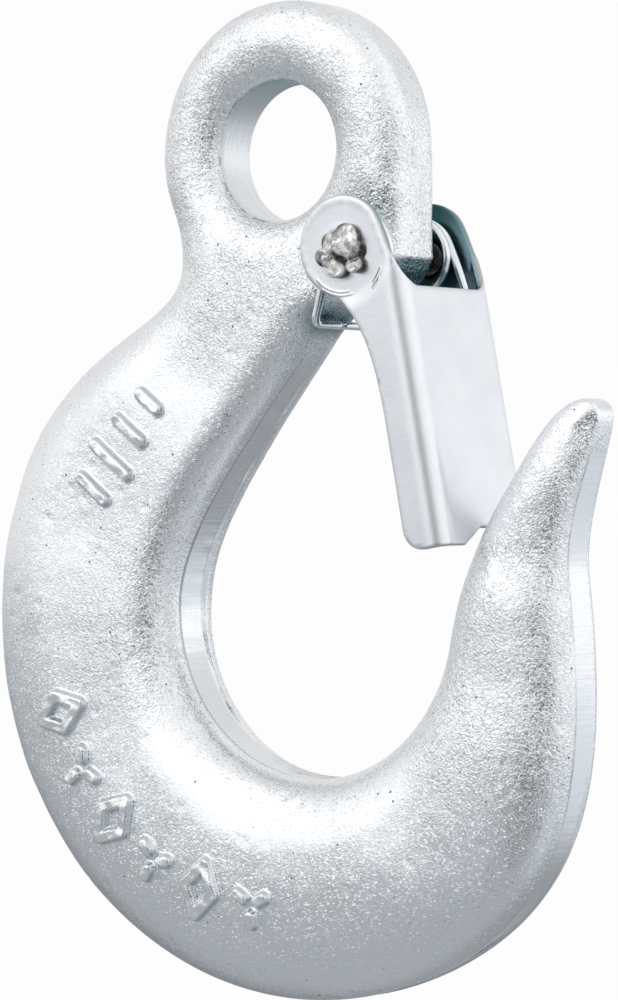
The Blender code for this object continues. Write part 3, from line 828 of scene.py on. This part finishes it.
def build_latch(material):
    """The latch: a flat pattern of sheet with rounded edges, bent into a channel with two ears."""
    half = latch_half_pattern(SHEET_STEP)
    outline = np.array(half[1:] + [(-run, height) for run, height in reversed(half[1:-1])] + half[:1])
    if polygon_area(outline) < 0:
        outline = outline[::-1]
    hole = np.array([(RIVET_RUN - p, v) for p, v in arc((0, 0), RIVET_HOLE_R, 0, 360, SHEET_STEP)[:-1]])
    far_hole = hole[::-1] * (-1, 1)
    loops = [outline, hole, far_hole]
    loops[1:] = [loop if polygon_area(loop) < 0 else loop[::-1] for loop in loops[1:]]
    edges = []
    for loop in loops:
        edges.append(Contour(np.concatenate([loop, loop[:1]]), np.zeros((len(loop) + 1, 2))))
    groups = [(inset_ring(loop, inset), inset * RING_SLACK) for loop in loops for inset in SHEET_INSETS]
    groups.append((grid_places(outline.min(0), outline.max(0), SHEET_STEP), SHEET_INSETS[-1] * 1.6))
    places, triangles, rim = triangulate(loops, fill(groups, edges, loops))
    gap = edge_gap(places, edges)
    short = np.clip(1 - gap / SHEET_EDGE_R, 0.0, 1.0)
    half_thickness_here = SHEET_THICKNESS / 2 - SHEET_EDGE_R * (1 - np.sqrt(1 - short**2))
    middle = bend_sheet(places)
    normals = sheet_normals(places)
    from_ear = np.hypot(RIVET_RUN - np.abs(places[:, 0]), places[:, 1] - LATCH_EAR_RISE)
    calm = smooth_step((from_ear - LATCH_EAR_R) / EAR_RUN_OUT)
    relief = SHEET_WAVE * calm * lumps(middle, SHEET_WAVE_SIZE, 6)
    relief += EAR_RIM_HEIGHT * (1 - calm) * np.exp(-(((gap - EAR_RIM_GAP) / EAR_RIM_WIDTH) ** 2))
    middle += normals * relief[:, None]
    offset = normals * half_thickness_here[:, None]
    count = len(places)
    corners = latch_to_world(np.concatenate([middle + offset, middle - offset]))
    faces = [tuple(face) for face in triangles] + [tuple(face[::-1] + count) for face in triangles]
    faces += [(b, a, count + a, count + b) for a, b in rim]
    # The inner side, which the material paints dark teal as shade.
    inner = np.repeat((0.0, 1.0), count)
    cut = np.tile(1 - smooth_step(gap / SHEET_CUT_WIDTH), 2)
    return make_piece("latch_sheet", corners, faces, material, {"inner": inner, "cut": cut})


# ---- Rivet -----------------------------------------------------------------------------
def lobe_radius(angle):
    """How far the crushed head reaches in a direction from the rivet's centre."""
    reach = RIVET_SHANK_R * 0.7
    for x, z, radius, *_ in HEAD_LOBES:
        ahead = x * math.cos(angle) + z * math.sin(angle)
        aside = x * math.sin(angle) - z * math.cos(angle)
        if abs(aside) < radius:
            reach = max(reach, ahead + math.sqrt(radius**2 - aside**2))
    return reach


def lobe_height(x, z):
    """How far the crushed head stands out over a place, from the rivet's centre."""
    height = HEAD_BASE
    ripple = LOBE_RIPPLE * noise.noise(Vector((x, 0.004, z)) / LOBE_RIPPLE_SIZE)
    for lobe_x, lobe_z, radius, top, slope_x, slope_z in HEAD_LOBES:
        share = math.hypot(x - lobe_x, z - lobe_z) / (radius * LOBE_OVERLAP) * (1 + ripple)
        if share < 1:
            leaning = top + slope_x * (x - lobe_x) + slope_z * (z - lobe_z)
            height = max(height, leaning * (1 - share**LOBE_FLATNESS) ** LOBE_SHOULDER)
    crush = sum(depth * noise.noise(Vector((x, z, 0.0)) / size) for size, depth in HEAD_CRUSH)
    return min(max(height + crush, HEAD_LEAST), RIVET_HEAD_HEIGHT)


def round_ring(angles, radius, y):
    return [(radius * math.cos(angle), y, radius * math.sin(angle)) for angle in angles]


def build_rivet(material):
    """The rivet: a shank through lug and ears, a crushed head in front and a domed one behind."""
    seat = LATCH_HALF_WIDTH - LATCH_EAR_INSET + HEAD_SEAT_GAP
    angles = [2 * math.pi * i / HEAD_SIDES for i in range(HEAD_SIDES)]
    rings = []
    for i in range(1, HEAD_RINGS + 1):
        ring = []
        for angle in angles:
            distance = lobe_radius(angle) * math.sin(math.pi / 2 * i / HEAD_RINGS)
            x, z = distance * math.cos(angle), distance * math.sin(angle)
            ring.append((x, -seat - lobe_height(x, z) * (1 if i < HEAD_RINGS else HEAD_RIM_SHARE), z))
        rings.append(ring)
    reach = [lobe_radius(angle) for angle in angles]
    rings.append([(r * math.cos(a), -seat, r * math.sin(a)) for r, a in zip(reach, angles)])
    rings.append(round_ring(angles, RIVET_SHANK_R, -seat))
    rings.append(round_ring(angles, RIVET_SHANK_R, seat))
    for i in range(HEAD_RINGS):
        turn = math.pi / 2 * i / HEAD_RINGS
        dome = RIVET_HEAD_R * math.cos(turn) ** DOME_WIDTH_POWER
        height = RIVET_HEAD_HEIGHT * math.sin(turn) ** DOME_HEIGHT_POWER
        rings.append(round_ring(angles, dome, seat + height))
    corners = [corner for ring in rings for corner in ring]
    faces = ring_faces(len(rings), HEAD_SIDES)
    front_pole = len(corners)
    corners.append((0.0, -seat - lobe_height(0.0, 0.0), 0.0))
    rear_pole = len(corners)
    corners.append((0.0, seat + RIVET_HEAD_HEIGHT, 0.0))
    last = (len(rings) - 1) * HEAD_SIDES
    for i in range(HEAD_SIDES):
        after = (i + 1) % HEAD_SIDES
        faces.append((front_pole, after, i))
        faces.append((rear_pole, last + i, last + after))
    corners = np.array(corners)
    # Grime and painted shade in the low gaps between the head's lobes.
    gap_grime_and_shade = smooth_step((seat + HEAD_GAP_BELOW + corners[:, 1]) / HEAD_GAP_SOFT)
    corners += (RIVET_CENTRE[0], 0.0, RIVET_CENTRE[1])
    return make_piece("rivet", corners, faces, material, {"gap_grime_and_shade": gap_grime_and_shade * (corners[:, 1] < seat * 1.001)})


# ---- Spring ----------------------------------------------------------------------------
def spring_path():
    """The wire of the rear half: bridge middle, leg, coil about the rivet, arm in the latch."""
    bridge_x, bridge_z = SPRING_BRIDGE
    leg_foot = Vector((bridge_x, SPRING_INNER_Y, bridge_z))
    x, z = polar(RIVET_CENTRE, SPRING_COIL_R, SPRING_LEG_START)
    leg_top = Vector((x, SPRING_INNER_Y, z))
    leg_turn = leg_foot.lerp(leg_top, SPRING_BRIDGE_CORNER / (leg_top - leg_foot).length)
    bridge_turn = leg_foot - Vector((0.0, SPRING_BRIDGE_CORNER, 0.0))
    middle = Vector((bridge_x, 0.0, bridge_z))
    path = [middle.lerp(bridge_turn, i / 6) for i in range(6)]
    path += interpolate_bezier(
        bridge_turn, bridge_turn.lerp(leg_foot, 0.6), leg_turn.lerp(leg_foot, 0.6), leg_turn, 10
    )
    sweep = SPRING_LEG_START - SPRING_LEG_END + 360 * SPRING_TURNS
    count = round(sweep / 5)
    for i in range(count + 1):
        turned = sweep * i / count
        x, z = polar(RIVET_CENTRE, SPRING_COIL_R, SPRING_LEG_START - turned)
        path.append(Vector((x, SPRING_INNER_Y + SPRING_PITCH * turned / 360, z)))
    arm_start = path[-1]
    leave = math.radians(SPRING_LEG_END - 90)
    arm_x = LATCH_WEB_OFFSET - SHEET_THICKNESS - SPRING_WIRE_R - CLEARANCE
    in_latch = np.array([(arm_x, arm_start.y, -SPRING_ARM_REACH * share) for share in (0.55, 1.0)])
    meet, end = [Vector(place) for place in latch_to_world(in_latch)]
    first_handle = arm_start + Vector((math.cos(leave), 0.0, math.sin(leave))) * 0.002
    second_handle = meet - (end - meet).normalized() * 0.003
    path += interpolate_bezier(arm_start, first_handle, second_handle, meet, 24)[1:]
    path += [meet.lerp(end, i / 6) for i in range(1, 7)]
    return path


def build_spring_half(name, side, material):
    """One half of the double torsion spring. side is -1 in front and 1 behind."""
    path = [Vector((p.x, side * p.y, p.z)) for p in spring_path()]
    corners, faces = tube(path, SPRING_WIRE_R, TUBE_SIDES)
    return make_piece(name, [tuple(corner) for corner in corners], faces, material)


# ---- Materials -------------------------------------------------------------------------
class Graph:
    """A tree of shader nodes, with a short call for each kind of node that is used here."""

    def __init__(self, tree):
        self.tree = tree

    def node(self, kind, inputs=None, **settings):
        """Add a node. inputs maps a socket's name or place to a value or to an output."""
        added = self.tree.nodes.new("ShaderNode" + kind)
        for setting, value in settings.items():
            setattr(added, setting, value)
        for socket, value in (inputs or {}).items():
            if isinstance(value, bpy.types.NodeSocket):
                self.tree.links.new(value, added.inputs[socket])
            else:
                added.inputs[socket].default_value = value
        return added

    def math(self, operation, first, second=0.0):
        return self.node("Math", {0: first, 1: second}, operation=operation).outputs[0]

    def times(self, first, second):
        return self.math("MULTIPLY", first, second)

    def vector(self, operation, first, second=(0, 0, 0)):
        """Vector arithmetic, whose result is a number for DOT_PRODUCT and LENGTH."""
        added = self.node("VectorMath", {0: first, 1: second}, operation=operation)
        return added.outputs["Value" if operation in ("DOT_PRODUCT", "LENGTH") else "Vector"]

    def part(self, vector, place):
        """One of a vector's X, Y and Z, counted from 0."""
        return self.node("SeparateXYZ", {0: vector}).outputs[place]

    def attribute(self, name):
        return self.node("Attribute", attribute_name=name).outputs["Fac"]

    def spread(self, value, start, end):
        """A soft ramp from 0 where the value is at the start to 1 where it is at the end."""
        inputs = {"Value": value, "From Min": start, "From Max": end}
        return self.node("MapRange", inputs, interpolation_type="SMOOTHSTEP").outputs["Result"]

    def blend(self, share, first, second):
        """The first number where the share is 0, the second where it is 1."""
        return self.node("Mix", {0: share, 2: first, 3: second}).outputs[0]

    def colours(self, share, first, second):
        """The first colour where the share is 0, the second where it is 1."""
        first, second = ((*c, 1.0) if isinstance(c, tuple) else c for c in (first, second))
        return self.node("Mix", {0: share, 6: first, 7: second}, data_type="RGBA").outputs[2]

    def layers(self, colour, *layers):
        """Cover a colour with others, each given after the share that it covers."""
        for share, over in layers:
            colour = self.colours(share, colour, over)
        return colour

    def millimetres(self, stretch=(1, 1, 1)):
        """The place on the object in millimetres, drawn out where the stretch is below 1."""
        place = self.node("TexCoord").outputs["Object"]
        return self.vector("MULTIPLY", place, tuple(share / MM for share in stretch))

    def noise(self, place, size, detail=3.0, roughness=0.55, distortion=0.0):
        """Noise from 0 to 1 whose largest lumps are size millimetres apart."""
        inputs = {"Vector": place, "Scale": 1 / size, "Detail": detail}
        inputs |= {"Roughness": roughness, "Distortion": distortion}
        return self.node("TexNoise", inputs).outputs["Fac"]

    def cells(self, place, size, output):
        """Random cells size millimetres across: their Color, or the Distance to their middles."""
        return self.node("TexVoronoi", {"Vector": place, "Scale": 1 / size}).outputs[output]

    def bumps(self, *layers):
        """Normals bumped by heights of 0 to 1, each given before the depth in metres it stands for."""
        inputs = {"Strength": 1.0}
        for height, depth in layers:
            inputs |= {"Height": height, "Distance": depth}
            inputs["Normal"] = self.node("Bump", inputs).outputs["Normal"]
        return inputs["Normal"]


def make_metal(name, surface):
    """A metal whose colour, roughness and normal come from a function of its graph."""
    material = bpy.data.materials.new(name)
    material.use_nodes = True
    shader = material.node_tree.nodes["Principled BSDF"].inputs
    shader["Metallic"].default_value = 1.0
    outputs = surface(Graph(material.node_tree))
    for socket, output in zip(("Base Color", "Roughness", "Normal"), outputs):
        material.node_tree.links.new(output, shader[socket])
    return material


def forged_zinc(g):
    """Bright zinc over a grainy forging: flakes, winding hollows darkened with dirt and painted shade, dark
    pits, a plainer band, painted highlight and shade on the marks, and painted shade on the hole's wall and
    under the latch.
    """
    place = g.millimetres()
    band, mark, painted_shade = (g.attribute(name) for name in ("band", "mark", "painted_shade"))
    off_band = g.math("SUBTRACT", 1.0, band)
    patch = g.spread(g.noise(place, 5.0, detail=2.0), 0.36, 0.62)
    coarse = g.times(g.attribute("coarse"), g.blend(patch, 0.45, 1.0))

    worm = g.noise(place, 0.46, detail=2.0, roughness=0.5, distortion=1.4)
    grain = g.noise(g.millimetres((0.5, 0.5, 1)), 0.17, roughness=0.6)
    lump = g.noise(place, 1.1, distortion=0.4)
    cloud = g.noise(place, 7.0, detail=2.0)
    flakes = g.cells(g.millimetres((0.45, 0.45, 1)), FLAKE_SIZE, "Color")
    flake = g.node("SeparateColor", {0: flakes}).outputs[2]
    ragged = g.math("ADD", g.cells(place, PIT_CELL, "Distance"), g.times(grain, 0.10))
    pit = g.times(g.spread(ragged, 0.125, 0.08), off_band)
    # Dirt and painted shade: the low parts of the winding hollows darkened where the grain is coarse.
    hollow_dirt_and_shade = g.times(g.spread(worm, 0.43, 0.28), coarse)
    # Painted shade: the marks' sloping sides coloured a darker blue-grey.
    mark_side_shade = g.times(g.times(mark, g.math("SUBTRACT", 1.0, mark)), 3.0)

    from_axis = g.vector("LENGTH", g.vector("MULTIPLY", place, (1, 0, 1)))
    in_eye = g.spread(from_axis, EYE_HOLE_R / MM + 0.32, EYE_HOLE_R / MM + 0.10)
    # Painted shade: the hole's wall darker and teal towards its top.
    wall_with_painted_shade = g.colours(g.spread(g.part(place, 2), 3.5, 8.5), (0.90, 0.92, 0.93), (0.56, 0.68, 0.71))
    off_seam = g.math("ABSOLUTE", g.math("SUBTRACT", from_axis, EYE_HOLE_R / MM + 0.20))
    torn = g.times(g.spread(off_seam, 0.12, 0.01), g.spread(lump, 0.50, 0.64))

    colour = g.layers(
        g.colours(g.spread(grain, 0.35, 0.70), (0.88, 0.895, 0.91), (0.98, 0.985, 0.99)),
        (g.spread(cloud, 0.35, 0.75), (0.90, 0.915, 0.935)),
        (g.times(hollow_dirt_and_shade, 0.7), (0.42, 0.44, 0.45)),
        (pit, (0.20, 0.205, 0.21)),
        (g.times(band, 0.7), (0.84, 0.855, 0.87)),
        # Painted highlight on the marks' raised tops, lighter and warmer, and painted shade on their sides.
        (g.times(mark, 0.7), (0.97, 0.965, 0.955)),
        (mark_side_shade, (0.50, 0.56, 0.61)),
        # Painted shade, dark teal, under the latch and the spring's bridge.
        (g.times(painted_shade, 0.85), (0.13, 0.26, 0.28)),
        (in_eye, wall_with_painted_shade),
        (torn, (0.44, 0.50, 0.53)),
    )
    rough = g.blend(pit, g.blend(in_eye, g.blend(flake, 0.18, 0.30), 0.42), 0.75)

    streak = g.noise(g.millimetres((1, 0.06, 1)), 0.45, roughness=0.65)
    rings = g.noise(g.millimetres((0.05, 1, 0.05)), 0.8, roughness=0.7)
    worm_height = g.times(worm, g.blend(coarse, 0.22, 1.0))
    bumped = g.bumps(
        (g.times(lump, off_band), 0.000028),
        (g.times(worm_height, off_band), 0.00016),
        (g.times(grain, off_band), 0.000022),
        (g.times(streak, band), 0.00003),
        (g.times(rings, in_eye), 0.00022),
        (pit, -0.00006),
    )
    lean = g.blend(g.math("POWER", flake, 6.0), 0.04, 0.72)
    lean = g.math("MAXIMUM", g.times(lean, g.math("SUBTRACT", off_band, mark)), 0.0)
    leaning = g.vector("MULTIPLY", g.vector("SUBTRACT", flakes, (0.5, 0.5, 0.5)), lean)
    return colour, rough, g.vector("NORMALIZE", g.vector("ADD", bumped, leaning))


def press_marks(g, place):
    """Broken arcs round the rivet, left by the punch that pressed the ear."""
    centre = (RIVET_CENTRE[0] / MM, 0.0, RIVET_CENTRE[1] / MM)
    offset = g.vector("MULTIPLY", g.vector("SUBTRACT", place, centre), (1, 0, 1))
    radius = g.vector("LENGTH", offset)
    direction = g.vector("NORMALIZE", offset)
    marks = 0.0
    for mark_radius, degrees, half_angle in PRESS_MARKS:
        gap = g.math("ABSOLUTE", g.math("SUBTRACT", radius, mark_radius / MM))
        aim_x, aim_z = polar((0.0, 0.0), 1.0, degrees)
        nearness = g.vector("DOT_PRODUCT", direction, (aim_x, 0.0, aim_z))
        edge = math.cos(math.radians(half_angle))
        window = g.spread(nearness, edge, (1 + edge) / 2)
        marks = g.math("MAXIMUM", marks, g.times(g.spread(gap, 0.20, 0.03), window))
    return marks


def satin_zinc_sheet(g):
    """Satin zinc on sheet: faint rolling lines, soft clouds, an inner side painted dark teal as shade, and
    darker cut edges.
    """
    place = g.millimetres()
    cloud = g.noise(place, 3.5)
    speck = g.noise(place, 0.24, roughness=0.65)
    lines = g.noise(g.millimetres((1, 1, 0.04)), 0.16)
    towards_web = g.spread(g.part(place, 0), 13.0, 19.5)
    colour = g.layers(
        g.colours(cloud, (0.77, 0.79, 0.82), (0.88, 0.895, 0.92)),
        (g.spread(speck, 0.62, 0.78), (0.70, 0.73, 0.76)),
        (g.times(g.attribute("cut"), 0.8), (0.42, 0.41, 0.40)),
        # Painted shade: the inner side dark teal, lighter towards the web.
        (g.attribute("inner"), g.colours(towards_web, (0.045, 0.135, 0.15), (0.30, 0.42, 0.47))),
    )
    rough = g.blend(cloud, g.blend(speck, 0.26, 0.38), 0.30)
    relief = ((cloud, 0.00002), (lines, 0.000005), (speck, 0.000011), (press_marks(g, place), 0.00005))
    return colour, rough, g.bumps(*relief)


def crushed_steel(g):
    """Bare crushed steel, warmer and darker than the zinc, with grime and painted shade in its folds."""
    place = g.millimetres()
    cloud = g.noise(place, 0.9, detail=4.0, roughness=0.6)
    fold = g.noise(place, 0.5, roughness=0.6, distortion=1.0)
    colour = g.layers(
        g.colours(g.spread(cloud, 0.35, 0.65), (0.36, 0.345, 0.335), (0.88, 0.855, 0.835)),
        # Grime and painted shade: the head's folds and low gaps darkened.
        (g.spread(fold, 0.38, 0.28), (0.10, 0.10, 0.095)),
        (g.attribute("gap_grime_and_shade"), (0.07, 0.07, 0.065)),
    )
    return colour, g.blend(fold, 0.10, 0.34), g.bumps((cloud, 0.00005), (fold, 0.00005))


def bright_wire(g):
    """Bright drawn wire, faintly blue where the plating is thicker."""
    place = g.millimetres()
    cloud = g.noise(place, 2.2, detail=2.0)
    scratch = g.noise(place, 0.12, roughness=0.6)
    colour = g.colours(g.spread(cloud, 0.35, 0.65), (0.88, 0.89, 0.90), (0.74, 0.82, 0.85))
    return colour, g.blend(scratch, 0.10, 0.24), g.bumps((scratch, 0.000003))


# ---- Studio ----------------------------------------------------------------------------
def toward(azimuth, elevation):
    """Unit vector from the object towards a direction given in degrees."""
    a, e = math.radians(azimuth), math.radians(elevation)
    return Vector((math.sin(a) * math.cos(e), -math.cos(a) * math.cos(e), math.sin(e)))


def light_the_room():
    """A soft white studio: bright above, greyer below, and a shade where the camera stands."""
    world = bpy.data.worlds.new("studio")
    world.use_nodes = True
    bpy.context.scene.world = world
    g = Graph(world.node_tree)
    direction = g.node("TexCoord").outputs["Generated"]
    low, high = (math.sin(math.radians(edge)) for edge in SKY_FADE)
    lifted = g.spread(g.part(direction, 2), low, high)
    strength = g.blend(lifted, SKY_BOTTOM, SKY_TOP)
    for azimuth, elevation, inner, outer, pool in SKY_POOLS:
        nearness = g.vector("DOT_PRODUCT", direction, toward(azimuth, elevation))
        edges = (math.cos(math.radians(outer)), math.cos(math.radians(inner)))
        strength = g.math("ADD", strength, g.times(g.spread(nearness, *edges), pool))
    seen = g.node("LightPath").outputs["Is Camera Ray"]
    tint = g.colours(lifted, SKY_TINT_LOW, SKY_TINT_HIGH)
    background = world.node_tree.nodes["Background"].inputs
    world.node_tree.links.new(g.colours(seen, tint, (1.0, 1.0, 1.0)), background["Color"])
    world.node_tree.links.new(g.blend(seen, strength, BACKDROP), background["Strength"])


def add_softbox(name, azimuth, elevation, distance, size, radiance):
    """A square area light that faces the object."""
    data = bpy.data.lights.new(name, "AREA")
    data.shape = "SQUARE"
    data.size = size
    data.energy = radiance * math.pi * size**2
    lamp = bpy.data.objects.new(name, data)
    away = toward(azimuth, elevation)
    lamp.location = Vector(CAMERA_AIM) + away * distance
    lamp.rotation_euler = away.to_track_quat("Z", "Y").to_euler()
    bpy.context.scene.collection.objects.link(lamp)


def add_floor():
    """A plain pale floor under the hanging hook."""
    material = bpy.data.materials.new("pale_floor")
    material.use_nodes = True
    shader = material.node_tree.nodes["Principled BSDF"].inputs
    shader["Base Color"].default_value = (0.05, 0.05, 0.05, 1.0)
    shader["Roughness"].default_value = 0.9
    shader["Specular IOR Level"].default_value = 0.0
    shader["Emission Color"].default_value = (1.0, 1.0, 1.0, 1.0)
    shader["Emission Strength"].default_value = FLOOR_GLOW
    angles = [2 * math.pi * i / FLOOR_SIDES for i in range(FLOOR_SIDES)]
    level = cad_box[0].z - FLOOR_DROP
    corners = [(FLOOR_R * math.cos(a), FLOOR_R * math.sin(a), level) for a in angles]
    floor = make_piece("floor", corners, [tuple(range(FLOOR_SIDES))], material)
    floor.visible_glossy = False


def add_camera():
    data = bpy.data.cameras.new("camera")
    data.sensor_width = SENSOR_WIDTH
    data.lens = LENS
    camera = bpy.data.objects.new("camera", data)
    back = toward(CAMERA_AZIMUTH, 0)
    camera.location = Vector(CAMERA_AIM) + back * CAMERA_DISTANCE
    camera.rotation_euler = (-back).to_track_quat("-Z", "Y").to_euler()
    bpy.context.scene.collection.objects.link(camera)
    bpy.context.scene.camera = camera


# ---- The object ------------------------------------------------------------------------
def place_pieces():
    forging = build_hook_body(make_metal("forged_zinc", forged_zinc))
    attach(forging, "hook")
    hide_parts("hook_body")

    latch = build_latch(make_metal("satin_zinc_sheet", satin_zinc_sheet))
    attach(latch, "latch")
    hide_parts("latch")

    rivet = build_rivet(make_metal("crushed_steel", crushed_steel))
    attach(rivet, "hook")
    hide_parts("latch_rivet")

    wire = make_metal("bright_wire", bright_wire)
    for name, side in (("spring_front", -1), ("spring_rear", 1)):
        half = build_spring_half(name, side, wire)
        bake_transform(half)
        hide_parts("latch_spring")


add_camera()
light_the_room()
add_softbox("key_light", azimuth=-28, elevation=40, distance=0.9, size=0.5, radiance=0.5)
add_floor()
place_pieces()
bpy.context.scene.view_settings.view_transform = "Standard"
